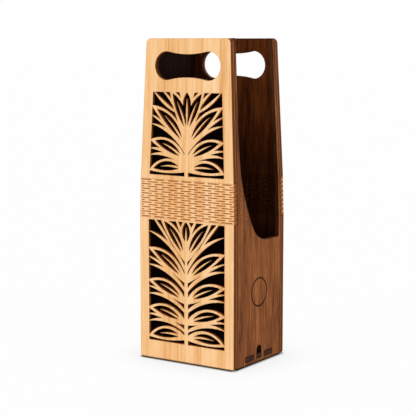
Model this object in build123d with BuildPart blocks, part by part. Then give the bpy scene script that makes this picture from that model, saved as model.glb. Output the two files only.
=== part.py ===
# A bottle caddy: a tall open box of laser-cut plywood.
#
# The front and back walls are two sheets thick. The outer face sheet is light wood with pierced
# foliage, the liner behind it is dark wood. A kerf-cut band at mid-height makes a living hinge in
# each of them, so that the upper leaf with the handle hole leans in and can be flexed outwards.
# The dark side panels stand between the two walls. The right one has a scoop that shows the inside.
#
# Millimetres. The origin is at the middle of the base, +Z up, and the front wall faces -Y.

from build123d import *

import os
from math import atan2, cos, hypot, radians, sin, tan

os.makedirs("parts", exist_ok=True)

# Overall size
body_length = 115.0
body_depth = 96.0
body_height = 330.0

# The band where every wall bends, and how far each wall leans in above it, in degrees
band_bottom = 148.0
band_height = 40.0
side_lean = 2.5
wall_lean = 1.3

# Sheets
face_thickness = 3.2
liner_thickness = 3.2
side_thickness = 4.8
floor_thickness = 4.8

# Rounded corners of the walls
top_corner_radius = 5.0
foot_corner_radius = 3.0

# Gap between the side panels and the leaves that flex away from them
leaf_clearance = 0.3

# Handle hole
handle_length = 79.0
handle_height = 28.6
handle_waist = 23.0
handle_margin = 13.0

# Pierced windows of the face sheets
window_margin = 11.0
lower_window_margin = 20.0
lower_window_clearance = 2.0
upper_window_clearance = 4.4
upper_window_height = 84.0

# Pierced foliage
stem_width = 4.2
leaf_width = 14.6
leaf_rim = 2.5
leaf_rib = 2.0
leaf_stalk = 2.6
tendril_width = 3.8
twig_width = 3.0
least_cut = 3.0

# The foliage's places in its window: base across and up, tip across and up, and the bow. A twig
# grows from a numbered tendril, at a share of its length, and has its own tip and bow.
lower_leaf_shares = (
    (0, 0.05, 1.02, 0.03, 0.09),
    (0, 0.17, 1.03, 0.27, 0.08),
    (0, 0.34, 1.03, 0.50, 0.08),
    (0, 0.51, 1.02, 0.77, 0.08),
    (0, 0.68, 0.70, 1.03, 0.07),
)
lower_tendril_shares = (
    (0, 0.10, 1.06, 0.15, 0.13),
    (0, 0.26, 1.06, 0.385, 0.12),
    (0, 0.43, 1.06, 0.63, 0.12),
    (0, 0.59, 1.04, 0.91, 0.12),
    (0, 0.78, 0.34, 1.05, 0.06),
)
lower_twig_shares = (
    (0, 0.35, 1.06, 0.215, 0.08),
    (1, 0.30, 1.06, 0.45, 0.08),
    (2, 0.30, 1.06, 0.70, 0.07),
    (3, 0.40, 0.96, 1.05, 0.03),
)
lower_bud_shares = (0.80, 1.03)
upper_leaf_shares = (
    (0, 0.07, 1.02, 0.05, 0.10),
    (0, 0.17, 1.03, 0.42, 0.09),
    (0, 0.32, 1.03, 0.84, 0.08),
    (0, 0.47, 0.52, 1.05, 0.07),
)
upper_tendril_shares = (
    (0, 0.11, 1.06, 0.23, 0.13),
    (0, 0.26, 1.06, 0.62, 0.12),
    (0, 0.40, 0.84, 1.06, 0.11),
    (0, 0.60, 0.25, 1.05, 0.05),
)
upper_twig_shares = (
    (0, 0.35, 1.06, 0.32, 0.08),
    (1, 0.35, 1.05, 0.73, 0.06),
    (2, 0.45, 1.00, 1.02, -0.05),
)
upper_bud_shares = (0.66, 1.05)
slit_shares = (0.17, 0.88)
rib_share = 0.7
stem_root_share = 0.04

# Kerfs of the living hinges
kerf_width = 0.6
kerf_bridge = 4.8
kerf_rows = 17
kerfs_across = 7

# Floor, its tabs and their slots
floor_rise = 4.9
side_tab_length = 15.8
centre_tab_length = 8.4
wall_tab_length = 24.0
side_tab_spacing = 18.0
arch_slot_height = 13.0
tab_fit = 0.1

# Scoop of the right side panel: its strips beside the walls, its floor, and its curve as shares of
# the body's depth and height
scoop_front_strip = 2.9
scoop_back_strip = 4.0
scoop_floor = 126.5
scoop_start_share = 0.74
scoop_curve_shares = ((0.190, 0.548), (0.322, 0.454))
scoop_end_share = 0.68

# Engraved ring on the right side panel
ring_height = 73.5
ring_diameter = 30.0
ring_line = 1.0
ring_depth = 0.3

# How far a cut or a blank runs past what it cuts
overrun = 5.0

# Sizes that follow from the ones above
wall_thickness = face_thickness + liner_thickness
band_top = band_bottom + band_height
half_length = body_length / 2
half_depth = body_depth / 2
inner_half_depth = half_depth - wall_thickness


def leaning_place(half, lean, height):
    """Distance from the middle of the box to a leaning face at one height."""
    in_band = min(max(height - band_bottom, 0), band_height)
    above_band = max(height - band_top, 0)
    return half - in_band * tan(radians(lean / 2)) - above_band * tan(radians(lean))


def leaning_line(half, lean, low, high):
    """Draw a leaning face's trace between two heights: upright, half bent in the band, then leaning."""
    heights = [low] + [bend for bend in (band_bottom, band_top) if low < bend < high] + [high]
    Polyline(*[(leaning_place(half, lean, height), height) for height in heights])


def wall_outline(low, high):
    """Outline of a wall seen square on, with its free corners rounded."""
    with BuildSketch() as outline:
        with BuildLine():
            leaning_line(half_length, side_lean, low, high)
            for height in (low, high):
                Line((0, height), (leaning_place(half_length, side_lean, height), height))
            mirror(about=Plane.YZ)
        make_face()
        if high == body_height:
            fillet(outline.vertices().group_by(Axis.Y)[-1], radius=top_corner_radius)
        if low == 0:
            fillet(outline.vertices().group_by(Axis.Y)[0], radius=foot_corner_radius)
    return outline.sketch


def handle_outline():
    """Two round lobes joined by arcs that draw in to a waist, all tangent."""
    lobe = handle_height / 2
    reach = handle_length / 2 - lobe
    waist = handle_waist / 2
    waist_radius = (reach**2 + waist**2 - lobe**2) / (2 * (lobe - waist))
    centre_distance = hypot(reach, waist_radius + waist)
    tangent_x = reach - lobe * reach / centre_distance
    tangent_y = lobe * (waist_radius + waist) / centre_distance
    with BuildSketch() as outline:
        with BuildLine():
            ThreePointArc((-tangent_x, tangent_y), (0, waist), (tangent_x, tangent_y))
            ThreePointArc((tangent_x, tangent_y), (reach + lobe, 0), (tangent_x, -tangent_y))
            ThreePointArc((tangent_x, -tangent_y), (0, -waist), (-tangent_x, -tangent_y))
            ThreePointArc((-tangent_x, -tangent_y), (-reach - lobe, 0), (-tangent_x, tangent_y))
        make_face()
    with BuildSketch() as placed:
        with Locations((0, body_height - handle_margin - lobe)):
            add(outline.sketch)
    return placed.sketch


def bowed_place(base, tip, bow_share, share):
    """Place at a share of the way along a bowed line from base to tip."""
    along = tip - base
    across = Vector(-along.Y, along.X)
    return base + along * share + across * (4 * bow_share * share * (1 - share))


def leaf_outline(base, tip, bow_share, width, base_width):
    """A bowed leaf: pointed at its tip, as wide as told at its middle and at its base."""
    along = tip - base
    across = Vector(-along.Y, along.X).normalized()
    middle = bowed_place(base, tip, bow_share, 0.5)
    left = base + across * base_width / 2
    right = base - across * base_width / 2
    with BuildSketch() as outline:
        with BuildLine():
            ThreePointArc(left, middle + across * width / 2, tip)
            ThreePointArc(tip, middle - across * width / 2, right)
            Line(right, left)
        make_face()
    return outline.sketch


def vein_slits(base, tip, bow_share):
    """The two slits inside a leaf, either side of its rib."""
    first, last = slit_shares
    inner_base = bowed_place(base, tip, bow_share, first)
    inner_tip = bowed_place(base, tip, bow_share, last)
    rib_tip = bowed_place(base, tip, bow_share, rib_share)
    inner_bow_share = bow_share * (last - first)
    inner_width = leaf_width - 2 * leaf_rim
    with BuildSketch() as slits:
        add(leaf_outline(inner_base, inner_tip, inner_bow_share, inner_width, kerf_width))
        add(leaf_outline(base, rib_tip, bow_share * rib_share, leaf_rib, leaf_rib), mode=Mode.SUBTRACT)
    return slits.sketch


def foliage_cuts(low, high, leaf_shares, tendril_shares, twig_shares, bud_shares):
    """What is pierced away in one window: all but a stem with its leaves, tendrils and twigs."""
    half_low = leaning_place(half_length, side_lean, low) - window_margin
    half_high = leaning_place(half_length, side_lean, high) - window_margin

    def place(across_share, height_share):
        half = half_low + (half_high - half_low) * height_share
        return Vector(half * across_share, low + (high - low) * height_share)

    leaves = [(place(0, bud_shares[0]), place(0, bud_shares[1]), 0)]
    tendrils = []
    twigs = []
    for side in (1, -1):
        for base_x, base_y, tip_x, tip_y, bow_share in leaf_shares:
            leaves.append((place(side * base_x, base_y), place(side * tip_x, tip_y), side * bow_share))
        side_tendrils = [
            (place(side * base_x, base_y), place(side * tip_x, tip_y), side * bow_share)
            for base_x, base_y, tip_x, tip_y, bow_share in tendril_shares
        ]
        tendrils += side_tendrils
        for number, share, tip_x, tip_y, bow_share in twig_shares:
            twig_base = bowed_place(*side_tendrils[number], share)
            twigs.append((twig_base, place(side * tip_x, tip_y), side * bow_share))

    stem_base = place(0, -stem_root_share)
    stem_tip = place(0, 1)
    with BuildSketch() as pierced:
        with BuildLine():
            Polyline((-half_low, low), (half_low, low), (half_high, high), (-half_high, high), close=True)
        make_face()
        add(leaf_outline(stem_base, stem_tip, 0, stem_width, stem_width), mode=Mode.SUBTRACT)
        for base, tip, bow_share in leaves:
            add(leaf_outline(base, tip, bow_share, leaf_width, leaf_stalk), mode=Mode.SUBTRACT)
        for base, tip, bow_share in tendrils:
            add(leaf_outline(base, tip, bow_share, tendril_width, leaf_stalk), mode=Mode.SUBTRACT)
        for base, tip, bow_share in twigs:
            add(leaf_outline(base, tip, bow_share, twig_width, kerf_width), mode=Mode.SUBTRACT)
        for base, tip, bow_share in leaves:
            add(vein_slits(base, tip, bow_share))
    with BuildSketch() as cuts:
        add(pierced.faces().filter_by(lambda cut: cut.area > least_cut**2))
    return cuts.sketch


def kerf_cuts():
    """Rows of short cuts across the band. Every other row has one more and is shifted by half a cut."""
    row_pitch = band_height / kerf_rows
    kerf_pitch = body_length / kerfs_across
    with BuildSketch() as cuts:
        for shifted in (0, 1):
            count = kerfs_across + shifted
            rows = (kerf_rows + 1 - shifted) // 2
            with Locations((0, band_bottom + (shifted + 1 / 2) * row_pitch)):
                with GridLocations(kerf_pitch, 2 * row_pitch, count, rows, align=(Align.CENTER, Align.MIN)):
                    Rectangle(kerf_pitch - kerf_bridge, kerf_width)
    return cuts.sketch


def wall_piece(outer, thickness, low, high, openings=()):
    """A flat piece of the front wall between two heights, leaning as the wall does there."""
    foot = leaning_place(outer, wall_lean, low)
    lean = atan2(foot - leaning_place(outer, wall_lean, high), high - low)
    outer_face = Plane(origin=(0, -foot, low), x_dir=(1, 0, 0), z_dir=(0, -cos(lean), sin(lean)))
    with BuildPart() as piece:
        with BuildSketch(outer_face):
            with Locations((0, -low)):
                add(wall_outline(low, high))
                for opening in openings:
                    add(opening, mode=Mode.SUBTRACT)
        extrude(amount=thickness, dir=(0, 1, 0))
    return piece.part


def side_outline():
    """Outline of a side panel: it fills the space between the two walls, clear of their leaves."""
    clear_half_depth = inner_half_depth - leaf_clearance
    top_half_depth = leaning_place(clear_half_depth, wall_lean, body_height)
    with BuildSketch() as outline:
        with BuildLine():
            Line((0, 0), (inner_half_depth, 0))
            Line((inner_half_depth, 0), (inner_half_depth, band_bottom))
            Line((inner_half_depth, band_bottom), (clear_half_depth, band_bottom))
            leaning_line(clear_half_depth, wall_lean, band_bottom, body_height)
            Line((top_half_depth, body_height), (0, body_height))
            mirror(about=Plane.YZ)
        make_face()
    return outline.sketch


def tab_slots():
    """Three slots for the floor's side tabs. The middle one is tall and arched."""
    slot_height = floor_thickness + 2 * tab_fit
    slot_middle = floor_rise + floor_thickness / 2
    arch_width = centre_tab_length + 2 * tab_fit
    arch_middle = floor_rise + arch_slot_height - arch_width / 2
    with BuildSketch() as slots:
        with Locations((-side_tab_spacing, slot_middle), (side_tab_spacing, slot_middle)):
            Rectangle(side_tab_length + 2 * tab_fit, slot_height)
        with Locations((0, arch_middle)):
            Circle(arch_width / 2)
        with Locations((0, floor_rise - tab_fit)):
            Rectangle(arch_width, arch_middle - floor_rise + tab_fit, align=(Align.CENTER, Align.MIN))
    return slots.sketch


def wall_tab_slot():
    """Slot in a lower liner for the floor's tab."""
    with BuildSketch() as slot:
        with Locations((0, floor_rise + floor_thickness / 2)):
            Rectangle(wall_tab_length + 2 * tab_fit, floor_thickness + 2 * tab_fit)
    return slot.sketch


def scoop_outline():
    """The opening of the right side panel, from its curved front edge to the strip at the back."""
    top = body_height + overrun
    front_edge = scoop_front_strip - leaning_place(inner_half_depth, wall_lean, body_height)
    start = (front_edge, scoop_start_share * body_height)
    curve = [
        (share_back * body_depth - half_depth, share_up * body_height)
        for share_back, share_up in scoop_curve_shares
    ]
    end = (scoop_end_share * body_depth - half_depth, scoop_floor)
    back_half = inner_half_depth - scoop_back_strip
    with BuildSketch() as outline:
        with BuildLine():
            Line((front_edge, top), start)
            Spline(start, *curve, end, tangents=((0, -1), (1, 0)))
            Line(end, (back_half, scoop_floor))
            leaning_line(back_half, wall_lean, scoop_floor, top)
            Line((leaning_place(back_half, wall_lean, top), top), (front_edge, top))
        make_face()
    return outline.sketch


def side_piece(openings=()):
    """A side panel on the +X side, bent like the walls, with the openings cut through it."""
    with BuildPart() as piece:
        with BuildSketch(Plane.XZ):
            with BuildLine():
                leaning_line(half_length, side_lean, 0, body_height)
                leaning_line(half_length - side_thickness, side_lean, 0, body_height)
                for height in (0, body_height):
                    outer = leaning_place(half_length, side_lean, height)
                    Line((outer - side_thickness, height), (outer, height))
            make_face()
        extrude(amount=half_depth, both=True)
        with BuildSketch(Plane.YZ):
            add(side_outline())
            for opening in openings:
                add(opening, mode=Mode.SUBTRACT)
        extrude(amount=half_length, mode=Mode.INTERSECT)
    return piece.part


def write_piece(piece, name):
    """Label a finished piece and write its file."""
    piece.part.label = name
    export_step(piece.part, f"parts/{name}.step")


# Floor with its tabs
with BuildPart() as floor_panel:
    with BuildSketch(Plane.XY.offset(floor_rise)):
        Rectangle(body_length - 2 * side_thickness, 2 * inner_half_depth)
        with Locations((0, -side_tab_spacing), (0, side_tab_spacing)):
            Rectangle(body_length, side_tab_length)
        Rectangle(body_length, centre_tab_length)
        Rectangle(wall_tab_length, body_depth - 2 * face_thickness)
    extrude(amount=floor_thickness)
write_piece(floor_panel, "floor_panel")

# Side panels
with BuildPart() as right_side_panel:
    add(side_piece(openings=(tab_slots(), scoop_outline())))
    with BuildSketch(Plane.YZ.offset(half_length)):
        with Locations((0, ring_height)):
            Circle(ring_diameter / 2)
            Circle(ring_diameter / 2 - ring_line, mode=Mode.SUBTRACT)
    extrude(amount=-ring_depth, mode=Mode.SUBTRACT)
write_piece(right_side_panel, "right_side_panel")

with BuildPart() as left_side_panel:
    add(side_piece(openings=(tab_slots(),)))
    mirror(about=Plane.YZ, mode=Mode.REPLACE)
write_piece(left_side_panel, "left_side_panel")

# Front wall: the outer face sheet, from the foot to the top
inner_face = half_depth - face_thickness
lower_window = (lower_window_margin, band_bottom - lower_window_clearance)
upper_window = (band_top + upper_window_clearance, band_top + upper_window_clearance + upper_window_height)
kerfs = kerf_cuts()
handle_hole = handle_outline()

with BuildPart() as front_lower_panel:
    cuts = foliage_cuts(
        *lower_window,
        lower_leaf_shares,
        lower_tendril_shares,
        lower_twig_shares,
        lower_bud_shares,
    )
    add(wall_piece(half_depth, face_thickness, 0, band_bottom, openings=(cuts,)))

with BuildPart() as front_living_hinge:
    add(wall_piece(half_depth, face_thickness, band_bottom, band_top, openings=(kerfs,)))

with BuildPart() as front_upper_leaf:
    cuts = foliage_cuts(
        *upper_window,
        upper_leaf_shares,
        upper_tendril_shares,
        upper_twig_shares,
        upper_bud_shares,
    )
    add(wall_piece(half_depth, face_thickness, band_top, body_height, openings=(cuts, handle_hole)))

# Front wall: the liner behind it
with BuildPart() as front_lower_liner:
    add(wall_piece(inner_face, liner_thickness, 0, band_bottom, openings=(wall_tab_slot(),)))

with BuildPart() as front_hinge_backing:
    add(wall_piece(inner_face, liner_thickness, band_bottom, band_top, openings=(kerfs,)))

with BuildPart() as front_upper_liner:
    add(wall_piece(inner_face, liner_thickness, band_top, body_height, openings=(handle_hole,)))

# The back wall has the same six pieces, turned half round
wall_pieces = {
    "lower_panel": front_lower_panel,
    "living_hinge": front_living_hinge,
    "upper_leaf": front_upper_leaf,
    "lower_liner": front_lower_liner,
    "hinge_backing": front_hinge_backing,
    "upper_liner": front_upper_liner,
}
for name, front_piece in wall_pieces.items():
    write_piece(front_piece, f"front_{name}")
    with BuildPart() as back_piece:
        add(front_piece.part, rotation=(0, 0, 180))
    write_piece(back_piece, f"back_{name}")
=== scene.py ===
# The looks of a bottle caddy: light and dark laser-cut wood with burnt edges, and kerf-cut bands
# that bend with the leaves above them.
#
# Metres, in the model's own frame: +Z up, and the front wall faces -Y.

import random
from math import radians

import bpy
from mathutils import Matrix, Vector


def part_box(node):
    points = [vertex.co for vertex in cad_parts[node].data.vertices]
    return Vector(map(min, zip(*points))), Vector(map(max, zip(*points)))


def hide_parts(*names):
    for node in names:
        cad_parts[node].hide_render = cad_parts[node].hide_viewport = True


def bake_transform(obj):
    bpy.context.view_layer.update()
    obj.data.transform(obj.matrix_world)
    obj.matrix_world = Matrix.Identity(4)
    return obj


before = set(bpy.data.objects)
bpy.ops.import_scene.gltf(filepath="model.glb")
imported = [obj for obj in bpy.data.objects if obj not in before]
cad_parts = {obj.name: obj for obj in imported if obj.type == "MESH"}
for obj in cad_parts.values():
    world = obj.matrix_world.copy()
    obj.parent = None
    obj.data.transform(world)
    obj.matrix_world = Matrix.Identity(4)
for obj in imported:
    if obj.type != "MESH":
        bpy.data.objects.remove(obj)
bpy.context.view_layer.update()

random.seed(7)

# Kerfs of the living hinges, how unevenly they end, and how strong the shallow ones on the sides look
kerf_width = 0.0006
kerf_bridge = 0.0048
kerf_rows = 17
kerfs_across = 7
kerf_wobble = 0.0008
shallow_kerf = 0.4

# Engraved ring on the right side panel, its burnt line, and how far below the face its colour reaches
ring_height = 0.0735
ring_radius = 0.0150
ring_line = 0.0010
ring_burnt_width = 0.0015
ring_reach = 0.001

# Cut edges within these limits are those of a wall's windows and handle hole: half the length, the
# bottom and the top. The windows lie below the last limit and the handle hole above it
inner_half_length = 0.048
inner_bottom = 0.005
inner_top = 0.325
windows_below = 0.280

# How far a cut scorches the wood beside it and how much, and how high and how dark the painted shade at a
# wall's foot is
light_scorch_reach = 0.0008
light_scorch = 0.35
band_scorch = 0.75
dark_scorch_reach = 0.0016
dark_scorch = 0.9
backing_scorch = 0.35
foot_shade_height = 0.0023
foot_shade_strength = 0.95

# How open the inside of the wood is at a cut edge and away from one, and how many samples tell it
open_at_edge = 0.5
open_away = 0.95
open_samples = 8

# Gloss and unevenness of the wood, and how rough it is where the grain is low and where it is high
light_gloss = 0.05
dark_gloss = 0.04
liner_gloss = 0.005
light_bump = 0.12
dark_bump = 0.2
bump_depth = 0.0002
grain_low = 0.3
grain_high = 0.7
rough_where_low = 0.68
rough_where_high = 0.52

# Cosine above which a surface counts as looking along an axis
face_cosine = 0.7

# Upright marks of the grain: their sizes along X, Y and Z, and how detailed, rough and bent they are
light_blotches = {"sizes": (0.014, 0.014, 0.045), "detail": 2.0}
light_streaks = {"sizes": (0.0032, 0.0032, 0.11), "roughness": 0.6}
light_fibres = {"sizes": (0.0007, 0.0007, 0.03), "detail": 2.0, "roughness": 0.7}
dark_figure = {"sizes": (0.016, 0.016, 0.16), "distortion": 0.6}
dark_veins = {"sizes": (0.0026, 0.0026, 0.035), "detail": 4.0, "roughness": 0.7}
dark_pores = {"sizes": (0.0006, 0.0006, 0.012), "detail": 2.0, "roughness": 0.7}

# Width of the strips of light wood. Shares of strips, blotches, streaks and fibres in the light tone,
# and of figure, veins and pores in the dark
strip_width = 0.0095
light_shares = (0.16, 0.22, 0.40, 0.22)
dark_shares = (0.38, 0.42, 0.20)

# Marks of the plies on the cut edges of sheets that lie across Y, across X and across Z
plies_y = {"sizes": (0.03, 0.0011, 0.03), "roughness": 0.7}
plies_x = {"sizes": (0.0011, 0.03, 0.03), "roughness": 0.7}
plies_z = {"sizes": (0.004, 0.004, 0.0011), "roughness": 0.7}

# Colours as the eye sees them on a screen, 0 to 255 a channel. A ramp has its places from 0 to 1
light_ramp = (
    (0.33, (222, 159, 97)),
    (0.45, (240, 189, 131)),
    (0.54, (247, 200, 146)),
    (0.67, (253, 214, 168)),
)
dark_ramp = (
    (0.38, (72, 38, 20)),
    (0.455, (113, 65, 35)),
    (0.54, (146, 88, 49)),
    (0.64, (180, 116, 71)),
)
light_scorched = (150, 92, 50)
band_scorched = (198, 108, 34)
dark_scorched = (40, 19, 9)
# Painted shade at the foot of the walls
foot_painted_shade = (34, 22, 14)
liner_black = (6, 2, 1)
backing_brown = (128, 66, 24)
kerf_brown = (58, 32, 18)
ring_brown = (36, 9, 2)
# Painted shade: the walls' faces looking into the box are multiplied by the first tone, the panels' by the
# second
wall_inner_painted_shade = (158, 138, 120)
side_inner_painted_shade = (58, 36, 22)

# Colours of the cut edges: a dark and a light ply, and the two plies' places on a ramp
face_sheet_edge = ((84, 38, 14), (128, 68, 32))
# Painted light: the windows' burnt walls are brighter than the outer edges, where little light reaches them
window_edge_painted_light = ((100, 48, 15), (184, 102, 40))
band_edge = ((150, 84, 34), (190, 116, 60))
# Burnt orange kerf walls, brightened by a painted light where little light gets into the kerfs
kerf_edge_painted_light = ((226, 122, 40), (250, 158, 68))
liner_edge = ((122, 70, 37), (172, 108, 62))
# Painted shade: the handle hole's burnt walls are darker than the liner's outer edges
handle_edge_painted_shade = ((50, 25, 11), (96, 54, 26))
side_edge = ((46, 24, 11), (98, 54, 28))
tab_edge = ((44, 27, 20), (84, 54, 40))
ply_places = (0.32, 0.68)

# Camera
camera_place = (0.7259, -1.0915, 0.3262)
camera_pitch = 7.418
camera_azimuth = 33.82
camera_lens = 110.32
camera_sensor = 36.0

# White floor
floor_half = 20.0
floor_white = 0.8
floor_roughness = 0.9
floor_gloss = 0.05
glow_share = 0.96

# How the floor's glow is dimmed close to the object, a painted contact shadow and a painted soft shade: how
# far around a place is looked, how open the darkest and the brightest places are, and how bright the darkest
# is
contact_reach = 0.005
contact_closed = 0.60
contact_open = 0.92
contact_bright = 0.30
shade_reach = 0.05
shade_closed = 0.5
shade_bright = 0.9

# Sky and suns. A sun has the direction it shines from and its strength
sky_strength = 0.4
sun_softness = 24.0
key_sun = ((-0.35, -0.75, 0.55), 1.80)
fill_sun = ((0.95, -0.06, 0.34), 1.10)
back_sun = ((-0.45, 0.80, 0.45), 0.6)

# Sizes read from the frame
panel_low, panel_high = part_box("front_lower_panel")
leaf_low, leaf_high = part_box("front_upper_leaf")
liner_low, liner_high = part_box("front_lower_liner")
upper_liner_low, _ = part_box("front_upper_liner")
band_bottom = panel_high.z
band_top = leaf_low.z
panel_half_length = panel_high.x
leaf_half_length = leaf_high.x
row_pitch = (band_top - band_bottom) / kerf_rows
kerf_pitch = 2 * panel_half_length / kerfs_across
kerf_length = kerf_pitch - kerf_bridge


def linear(colour):
    """A colour as the eye sees it on a screen, 0 to 255 a channel, turned into light."""
    shares = [channel / 255 for channel in colour]
    light = [s / 12.92 if s <= 0.04045 else ((s + 0.055) / 1.055) ** 2.4 for s in shares]
    return (*light, 1.0)


# Building blocks of a material


def socket_named(sockets, name):
    """A socket by its identifier, or else by its name."""
    for socket in sockets:
        if socket.identifier == name:
            return socket
    return sockets[name]


def add_node(tree, kind, inputs=None, **settings):
    """Add a node with its settings. An input is another node's output to link, or a plain value."""
    node = tree.nodes.new(kind)
    for setting, value in settings.items():
        setattr(node, setting, value)
    for name, value in (inputs or {}).items():
        socket = node.inputs[name] if isinstance(name, int) else socket_named(node.inputs, name)
        if isinstance(value, bpy.types.NodeSocket):
            tree.links.new(value, socket)
        else:
            socket.default_value = value
    return node


def calculate(tree, operation, first, second=0.0):
    """One step of arithmetic on two numbers."""
    return add_node(tree, "ShaderNodeMath", {0: first, 1: second}, operation=operation).outputs[0]


def fade(tree, value, low, high, to_low, to_high):
    """Value between low and high, turned into a number between to_low and to_high."""
    inputs = {"Value": value, "From Min": low, "From Max": high, "To Min": to_low, "To Max": to_high}
    return add_node(tree, "ShaderNodeMapRange", inputs).outputs["Result"]


def blend_colours(tree, share, first, second, blend_type="MIX"):
    """First colour where share is 0 and second where it is 1."""
    inputs = {"Factor_Float": share, "A_Color": first, "B_Color": second}
    node = add_node(tree, "ShaderNodeMix", inputs, data_type="RGBA", blend_type=blend_type)
    return socket_named(node.outputs, "Result_Color")


def mix_shares(tree, values, shares):
    """The sum of several values, each times its share."""
    total = 0.0
    for value, share in zip(values, shares):
        total = calculate(tree, "ADD", calculate(tree, "MULTIPLY", value, share), total)
    return total


def tones(tree, value, ramp):
    """Colours along a ramp, as places from 0 to 1 with their colours."""
    node = add_node(tree, "ShaderNodeValToRGB", {"Fac": value})
    elements = node.color_ramp.elements
    while len(elements) < len(ramp):
        elements.new(0.5)
    for element, (place, colour) in zip(elements, ramp):
        element.position = place
        element.color = linear(colour)
    return node.outputs["Color"]


def stretched_noise(tree, place, sizes, detail=3.0, roughness=0.55, distortion=0.0):
    """Noise whose blotches have the given sizes along X, Y and Z."""
    scale = [1 / size for size in sizes]
    mapped = add_node(tree, "ShaderNodeMapping", {"Vector": place, "Scale": scale})
    inputs = {
        "Vector": mapped.outputs["Vector"],
        "Scale": 1.0,
        "Detail": detail,
        "Roughness": roughness,
        "Distortion": distortion,
    }
    return add_node(tree, "ShaderNodeTexNoise", inputs).outputs["Fac"]


def axis_part(tree, vector, axis):
    """One part of a vector."""
    return add_node(tree, "ShaderNodeSeparateXYZ", {"Vector": vector}).outputs[axis]


def looks_along(tree, coordinates, axis):
    """1 where a surface looks along an axis, either way, and 0 where it looks across it."""
    size = calculate(tree, "ABSOLUTE", axis_part(tree, coordinates.outputs["Normal"], axis))
    return calculate(tree, "GREATER_THAN", size, face_cosine)


def openness(tree, reach, **settings):
    """How open the room around a place is, as far as the reach: 1 where nothing stands in it."""
    kind = "ShaderNodeAmbientOcclusion"
    return add_node(tree, kind, {"Distance": reach}, samples=open_samples, **settings).outputs["AO"]


def scorch_share(tree, reach, strength):
    """How scorched a surface is: strength at a cut edge, and 0 the reach away from it."""
    within = openness(tree, reach, inside=True, only_local=True)
    return fade(tree, within, open_at_edge, open_away, strength, 0.0)


def paint_foot_shade(tree, place, colour):
    """Darken the lowest edge of a wall with a painted shade, where the wall meets the floor."""
    share = fade(tree, axis_part(tree, place, "Z"), foot_shade_height / 2, foot_shade_height, foot_shade_strength, 0.0)
    return blend_colours(tree, share, colour, linear(foot_painted_shade))


def inner_share(tree, place, top):
    """1 inside a wall's outer edges and below the top told, and 0 elsewhere."""
    height = axis_part(tree, place, "Z")
    across = calculate(tree, "ABSOLUTE", axis_part(tree, place, "X"))
    share = calculate(tree, "LESS_THAN", across, inner_half_length)
    share = calculate(tree, "MULTIPLY", share, calculate(tree, "GREATER_THAN", height, inner_bottom))
    return calculate(tree, "MULTIPLY", share, calculate(tree, "LESS_THAN", height, top))


def burnt_edge(tree, place, plies, colours):
    """The laser-burnt edge of a sheet, with its dark and light plies."""
    marks = stretched_noise(tree, place, **plies)
    return tones(tree, marks, tuple(zip(ply_places, colours)))


def start_material(name, gloss):
    """A new material with its tree, its shader and its coordinates."""
    material = bpy.data.materials.new(name)
    material.use_nodes = True
    tree = material.node_tree
    shader = tree.nodes["Principled BSDF"]
    shader.inputs["Specular IOR Level"].default_value = gloss
    coordinates = add_node(tree, "ShaderNodeTexCoord")
    return material, tree, shader, coordinates


def finish_wood(tree, shader, colour, grain, strength):
    """Give the shader its colour, and a surface as rough and uneven as the grain."""
    bump = add_node(tree, "ShaderNodeBump", {"Strength": strength, "Distance": bump_depth, "Height": grain})
    roughness = fade(tree, grain, grain_low, grain_high, rough_where_low, rough_where_high)
    tree.links.new(colour, shader.inputs["Base Color"])
    tree.links.new(bump.outputs["Normal"], shader.inputs["Normal"])
    tree.links.new(roughness, shader.inputs["Roughness"])


# Light wood


def light_grain(tree, place):
    """Colour and height of pale wood glued up from narrow upright strips, with streaks and fibres."""
    strip = calculate(tree, "FLOOR", calculate(tree, "DIVIDE", axis_part(tree, place, "X"), strip_width))
    by_strip = add_node(tree, "ShaderNodeTexWhiteNoise", {"W": strip}, noise_dimensions="1D")
    blotches = stretched_noise(tree, place, **light_blotches)
    streaks = stretched_noise(tree, place, **light_streaks)
    fibres = stretched_noise(tree, place, **light_fibres)
    mixed = mix_shares(tree, (by_strip.outputs["Value"], blotches, streaks, fibres), light_shares)
    return tones(tree, mixed, light_ramp), fibres


def light_material(name, scorch, scorched, outer_colours, inner_painted_light_colours, choose_inner):
    """Light wood sheet that stands across Y: pale faces, scorched beside the cuts, and burnt edges.

    choose_inner tells where the edges have their inner colours, which carry a painted light.
    """
    material, tree, shader, coordinates = start_material(name, light_gloss)
    place = coordinates.outputs["Object"]
    face_colour, fibres = light_grain(tree, place)
    burnt = scorch_share(tree, light_scorch_reach, scorch)
    face_colour = blend_colours(tree, burnt, face_colour, linear(scorched))
    outer_edge = burnt_edge(tree, place, plies_y, outer_colours)
    inner_edge = burnt_edge(tree, place, plies_y, inner_painted_light_colours)
    edge_colour = blend_colours(tree, choose_inner(tree, coordinates), outer_edge, inner_edge)
    colour = blend_colours(tree, looks_along(tree, coordinates, "Y"), edge_colour, face_colour)
    # The foot gets a painted shade
    finish_wood(tree, shader, paint_foot_shade(tree, place, colour), fibres, light_bump)
    return material


def in_windows(tree, coordinates):
    """1 on the edges in a wall's windows, and 0 on its outer edges and in its handle hole."""
    return inner_share(tree, coordinates.outputs["Object"], windows_below)


def in_kerfs(tree, coordinates):
    """1 on the long walls of the kerfs, which look up and down, and 0 on a band's outer edges."""
    return looks_along(tree, coordinates, "Z")


# Dark wood


def dark_grain(tree, place):
    """Colour and height of walnut, its grain upright, with dark veins and fine pores."""
    figure = stretched_noise(tree, place, **dark_figure)
    veins = stretched_noise(tree, place, **dark_veins)
    pores = stretched_noise(tree, place, **dark_pores)
    mixed = mix_shares(tree, (figure, veins, pores), dark_shares)
    return tones(tree, mixed, dark_ramp), pores


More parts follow.
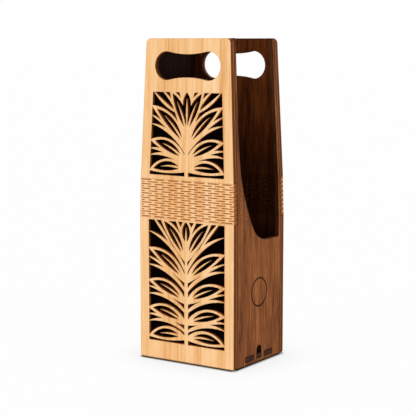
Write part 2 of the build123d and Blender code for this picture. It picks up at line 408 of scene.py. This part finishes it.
def walnut(tree, coordinates, axis, outward, inner_painted_shade):
    """Colour and height of walnut on a sheet across one axis, and how far each place looks outward.

    outward is the sign of the axis on the sheet's outer face. A painted shade darkens the face that looks
    in.
    """
    colour, pores = dark_grain(tree, coordinates.outputs["Object"])
    facing = calculate(tree, "MULTIPLY", axis_part(tree, coordinates.outputs["Normal"], axis), outward)
    # Painted shade: the face that looks into the box takes the colour times the tone
    inner = blend_colours(tree, 1.0, colour, linear(inner_painted_shade), blend_type="MULTIPLY")
    looks_in = calculate(tree, "LESS_THAN", facing, -face_cosine)
    return blend_colours(tree, looks_in, colour, inner), pores, facing


def finish_walnut(tree, shader, coordinates, axis, colour, edge_colour, pores, scorch=dark_scorch):
    """Put the edges beside the faces, scorch both along the cuts, and finish the wood."""
    colour = blend_colours(tree, looks_along(tree, coordinates, axis), edge_colour, colour)
    burnt = scorch_share(tree, dark_scorch_reach, scorch)
    colour = blend_colours(tree, burnt, colour, linear(dark_scorched))
    # The foot gets a painted shade
    colour = paint_foot_shade(tree, coordinates.outputs["Object"], colour)
    finish_wood(tree, shader, colour, pores, dark_bump)


def liner_material(name, outward, outer_colour, scorch):
    """A sheet behind a face sheet: one colour behind the cuts, walnut inside, a painted shade in the handle
    hole.
    """
    material, tree, shader, coordinates = start_material(name, liner_gloss)
    place = coordinates.outputs["Object"]
    # Painted shade on the face that looks into the box
    colour, pores, facing = walnut(tree, coordinates, "Y", outward, wall_inner_painted_shade)
    looks_out = calculate(tree, "GREATER_THAN", facing, face_cosine)
    colour = blend_colours(tree, looks_out, colour, linear(outer_colour))
    outer_edge = burnt_edge(tree, place, plies_y, liner_edge)
    # Painted shade on the inner cut walls
    inner_edge = burnt_edge(tree, place, plies_y, handle_edge_painted_shade)
    edge_colour = blend_colours(tree, inner_share(tree, place, inner_top), outer_edge, inner_edge)
    finish_walnut(tree, shader, coordinates, "Y", colour, edge_colour, pores, scorch)
    return material


def kerf_share(tree, coordinates):
    """1 in the shallow kerfs where a side panel bends, and 0 elsewhere."""
    place = coordinates.outputs["Object"]
    height = axis_part(tree, place, "Z")
    in_rows = calculate(tree, "DIVIDE", calculate(tree, "SUBTRACT", height, band_bottom), row_pitch)
    odd_row = calculate(tree, "MODULO", calculate(tree, "FLOOR", in_rows), 2.0)
    shift = calculate(tree, "MULTIPLY", odd_row, 0.5)
    across = calculate(tree, "DIVIDE", axis_part(tree, place, "Y"), kerf_pitch)
    in_cuts = calculate(tree, "ADD", across, shift)
    share = calculate(tree, "GREATER_THAN", height, band_bottom)
    share = calculate(tree, "MULTIPLY", share, calculate(tree, "LESS_THAN", height, band_top))
    half_shares = ((in_rows, kerf_width / row_pitch / 2), (in_cuts, kerf_length / kerf_pitch / 2))
    for steps, half_share in half_shares:
        off_middle = calculate(tree, "SUBTRACT", calculate(tree, "FRACT", steps), 0.5)
        near = calculate(tree, "LESS_THAN", calculate(tree, "ABSOLUTE", off_middle), half_share)
        share = calculate(tree, "MULTIPLY", share, near)
    return share


def ring_share(tree, coordinates):
    """1 in the burnt line of the ring on the outer face of the right side panel, and 0 elsewhere."""
    place = coordinates.outputs["Object"]
    flat = {"Y": axis_part(tree, place, "Y"), "Z": axis_part(tree, place, "Z")}
    ends = {0: add_node(tree, "ShaderNodeCombineXYZ", flat).outputs["Vector"], 1: (0, 0, ring_height)}
    reach = add_node(tree, "ShaderNodeVectorMath", ends, operation="DISTANCE").outputs["Value"]
    off_line = calculate(tree, "ABSOLUTE", calculate(tree, "SUBTRACT", reach, ring_radius - ring_line / 2))
    on_line = calculate(tree, "LESS_THAN", off_line, ring_burnt_width / 2)
    outside = calculate(tree, "GREATER_THAN", axis_part(tree, place, "X"), panel_half_length - ring_reach)
    return calculate(tree, "MULTIPLY", on_line, outside)


def side_material(name, outward, ring=False):
    """A side panel: walnut with shallow kerfs where the walls bend, and on one panel an engraved ring."""
    material, tree, shader, coordinates = start_material(name, dark_gloss)
    # Painted shade on the face that looks into the box
    colour, pores, _ = walnut(tree, coordinates, "X", outward, side_inner_painted_shade)
    in_kerf = calculate(tree, "MULTIPLY", kerf_share(tree, coordinates), shallow_kerf)
    colour = blend_colours(tree, in_kerf, colour, linear(kerf_brown))
    if ring:
        colour = blend_colours(tree, ring_share(tree, coordinates), colour, linear(ring_brown))
    edge_colour = burnt_edge(tree, coordinates.outputs["Object"], plies_x, side_edge)
    finish_walnut(tree, shader, coordinates, "X", colour, edge_colour, pores)
    return material


def floor_material(name):
    """The floor panel: walnut with burnt edges, which show at its tabs' ends."""
    material, tree, shader, coordinates = start_material(name, dark_gloss)
    # Painted shade on the upper face, which looks into the box
    colour, pores, _ = walnut(tree, coordinates, "Z", -1, side_inner_painted_shade)
    edge_colour = burnt_edge(tree, coordinates.outputs["Object"], plies_z, tab_edge)
    finish_walnut(tree, shader, coordinates, "Z", colour, edge_colour, pores)
    return material


def dress(node_name, material):
    """Give one node its material."""
    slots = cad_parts[node_name].data.materials
    slots.clear()
    slots.append(material)


# The windows' cut walls carry a painted light
light_face = light_material(
    "light_wood_face", light_scorch, light_scorched, face_sheet_edge, window_edge_painted_light, in_windows
)
# The kerfs' walls carry a painted light
light_band = light_material("light_wood_band", band_scorch, band_scorched, band_edge, kerf_edge_painted_light, in_kerfs)
backing_wood = {}
for wall, outward in (("front", -1), ("back", 1)):
    liner_wood = liner_material(f"dark_wood_{wall}_liner", outward, liner_black, dark_scorch)
    backing_name = f"dark_wood_{wall}_backing"
    backing_wood[wall] = liner_material(backing_name, outward, backing_brown, backing_scorch)
    for level, light_part in (("lower", "panel"), ("upper", "leaf")):
        dress(f"{wall}_{level}_{light_part}", light_face)
        dress(f"{wall}_{level}_liner", liner_wood)
dress("left_side_panel", side_material("dark_wood_left_side", -1))
dress("right_side_panel", side_material("dark_wood_right_side", 1, ring=True))
dress("floor_panel", floor_material("dark_wood_floor"))


# Living hinges: bands of thin strips joined by bridges, which bend as a lattice


def kerf_middles(row):
    """Middles of one row's kerfs. Every other row is shifted by half a kerf and has one more."""
    count = kerfs_across + row % 2
    return [(number - (count - 1) / 2) * kerf_pitch for number in range(count)]


def is_cut(across, row):
    """Whether a place across the band lies in one of a row's kerfs."""
    return any(abs(across - middle) < kerf_length / 2 for middle in kerf_middles(row))


def lattice_layers(first_row):
    """Heights at which the band changes, upwards, each with its row of kerfs, or None at the ends.

    first_row is the height of the lowest row of kerfs, in rows. The highest row lies at least half a
    row below the band's top.
    """
    layers = [(band_bottom, None)]
    for row in range(int(kerf_rows - first_row + 0.5)):
        middle = band_bottom + (row + first_row) * row_pitch
        layers += [(middle - kerf_width / 2, row), (middle + kerf_width / 2, row)]
    return layers + [(band_top, None)]


def lattice_faces(layers, places):
    """Faces around the solid cells of a grid, which has a front and a back corner at each place."""
    across = len(places)

    def is_solid(layer, column):
        if not (0 <= layer < len(layers) - 1 and 0 <= column < across - 1):
            return False
        row = layers[layer][1]
        in_kerf_layer = row is not None and layers[layer + 1][1] == row
        return not (in_kerf_layer and is_cut((places[column] + places[column + 1]) / 2, row))

    def corner(layer, column, back):
        return (2 * layer + back) * across + column

    faces = []
    for layer in range(len(layers) - 1):
        for column in range(across - 1):
            if not is_solid(layer, column):
                continue
            around = [(layer, column), (layer, column + 1), (layer + 1, column + 1), (layer + 1, column)]
            front = [corner(*at, 0) for at in around]
            back = [corner(*at, 1) for at in around]
            faces += [front, back[::-1]]
            neighbours = [(layer - 1, column), (layer, column + 1), (layer + 1, column), (layer, column - 1)]
            for side, neighbour in enumerate(neighbours):
                if not is_solid(*neighbour):
                    end = (side + 1) % 4
                    faces.append([front[end], front[side], back[side], back[end]])
    return faces


def make_lattice(name, low_y, high_y, thickness, turn, first_row):
    """A closed mesh of one band, whose outer face lies at low_y at the bottom and high_y at the top.

    turn is 1 for the front wall and -1 for the back, turned half round.
    """
    middles = kerf_middles(0) + kerf_middles(1)
    ends = [middle + side * kerf_length / 2 for middle in middles for side in (-1, 1)]
    columns = sorted(end for end in ends if abs(end) < leaf_half_length)
    layers = lattice_layers(first_row)
    rows = len(layers) // 2 - 1
    wobbles = [[random.uniform(-kerf_wobble, kerf_wobble) for _ in columns] for _ in range(rows)]
    vertices = []
    for height, row in layers:
        share = (height - band_bottom) / (band_top - band_bottom)
        half = panel_half_length + (leaf_half_length - panel_half_length) * share
        outer = low_y + (high_y - low_y) * share
        shifts = [0.0] * len(columns) if row is None else wobbles[row]
        line = [-half] + [column + shift for column, shift in zip(columns, shifts)] + [half]
        for y in (outer, outer + thickness):
            vertices += [(turn * x, turn * y, height) for x in line]

    mesh = bpy.data.meshes.new(name)
    places = [-leaf_half_length] + columns + [leaf_half_length]
    mesh.from_pydata(vertices, [], lattice_faces(layers, places))
    mesh.update()
    lattice = bpy.data.objects.new(name, mesh)
    bpy.context.scene.collection.objects.link(lattice)
    return lattice


# The outer face of each sheet at the band's bottom and top, its thickness, its first row and its slot.
# The backing's rows lie between those of the face, so that nothing shows through both
band_sheets = {
    "living_hinge": (panel_low.y, leaf_low.y, panel_high.y - panel_low.y, 0.5, "light_wood"),
    "hinge_backing": (liner_low.y, upper_liner_low.y, liner_high.y - liner_low.y, 1.0, "dark_wood"),
}
for wall, turn in (("front", 1), ("back", -1)):
    band_wood = {"living_hinge": light_band, "hinge_backing": backing_wood[wall]}
    for sheet, (low_y, high_y, thickness, first_row, slot) in band_sheets.items():
        lattice = make_lattice(f"{wall}_{sheet}_lattice", low_y, high_y, thickness, turn, first_row)
        lattice.data.materials.append(band_wood[sheet])
        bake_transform(lattice)
        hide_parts(f"{wall}_{sheet}")


# Stage, light and camera


def seen_share(tree):
    """1 for what the camera sees straight, in a gloss or through something clear, and 0 otherwise."""
    path = add_node(tree, "ShaderNodeLightPath").outputs
    mirrored = calculate(tree, "MAXIMUM", path["Is Glossy Ray"], path["Is Transmission Ray"])
    return calculate(tree, "MAXIMUM", path["Is Camera Ray"], mirrored)


def make_floor():
    """A white floor that keeps the object's soft shadow, and whose glow a painted shade dims close to it."""
    mesh = bpy.data.meshes.new("studio_floor")
    corners = [(-1, -1), (1, -1), (1, 1), (-1, 1)]
    mesh.from_pydata([(x * floor_half, y * floor_half, 0) for x, y in corners], [], [(0, 1, 2, 3)])
    floor = bpy.data.objects.new("studio_floor", mesh)
    bpy.context.scene.collection.objects.link(floor)
    material, tree, shader, _ = start_material("studio_white", floor_gloss)
    shader.inputs["Base Color"].default_value = (floor_white, floor_white, floor_white, 1)
    shader.inputs["Roughness"].default_value = floor_roughness
    # Painted shade: the glow is dimmed where the object stands close
    near = openness(tree, contact_reach)
    wide = openness(tree, shade_reach)
    contact = fade(tree, near, contact_closed, contact_open, contact_bright, 1.0)
    shade = fade(tree, wide, shade_closed, 1.0, shade_bright, 1.0)
    strength = calculate(tree, "MULTIPLY", contact, shade)
    glow = add_node(tree, "ShaderNodeEmission", {"Color": (1, 1, 1, 1), "Strength": strength})
    share = calculate(tree, "MULTIPLY", seen_share(tree), glow_share)
    surfaces = {0: share, 1: shader.outputs["BSDF"], 2: glow.outputs["Emission"]}
    mixed = add_node(tree, "ShaderNodeMixShader", surfaces)
    tree.links.new(mixed.outputs["Shader"], tree.nodes["Material Output"].inputs["Surface"])
    mesh.materials.append(material)


def make_sky():
    """White where the camera sees it, and a plain soft light elsewhere."""
    world = bpy.data.worlds.new("studio_sky")
    bpy.context.scene.world = world
    world.use_nodes = True
    tree = world.node_tree
    background = tree.nodes["Background"]
    background.inputs["Color"].default_value = (1, 1, 1, 1)
    strength = fade(tree, seen_share(tree), 0.0, 1.0, sky_strength, 1.0)
    tree.links.new(strength, background.inputs["Strength"])


def make_sun(name, towards, strength):
    """A soft light from far away, in the direction told."""
    data = bpy.data.lights.new(name, "SUN")
    data.energy = strength
    data.angle = radians(sun_softness)
    sun = bpy.data.objects.new(name, data)
    bpy.context.scene.collection.objects.link(sun)
    sun.location = towards
    sun.rotation_euler = Vector(towards).to_track_quat("Z", "Y").to_euler()


def make_camera():
    """The camera at the photograph's viewing angle."""
    data = bpy.data.cameras.new("camera")
    data.lens = camera_lens
    data.sensor_width = camera_sensor
    camera = bpy.data.objects.new("camera", data)
    bpy.context.scene.collection.objects.link(camera)
    camera.location = camera_place
    camera.rotation_euler = (radians(90 - camera_pitch), 0, radians(camera_azimuth))
    bpy.context.scene.camera = camera


make_floor()
make_sky()
make_sun("key_sun", *key_sun)
make_sun("fill_sun", *fill_sun)
make_sun("back_sun", *back_sun)
make_camera()
bpy.context.scene.view_settings.view_transform = "Standard"
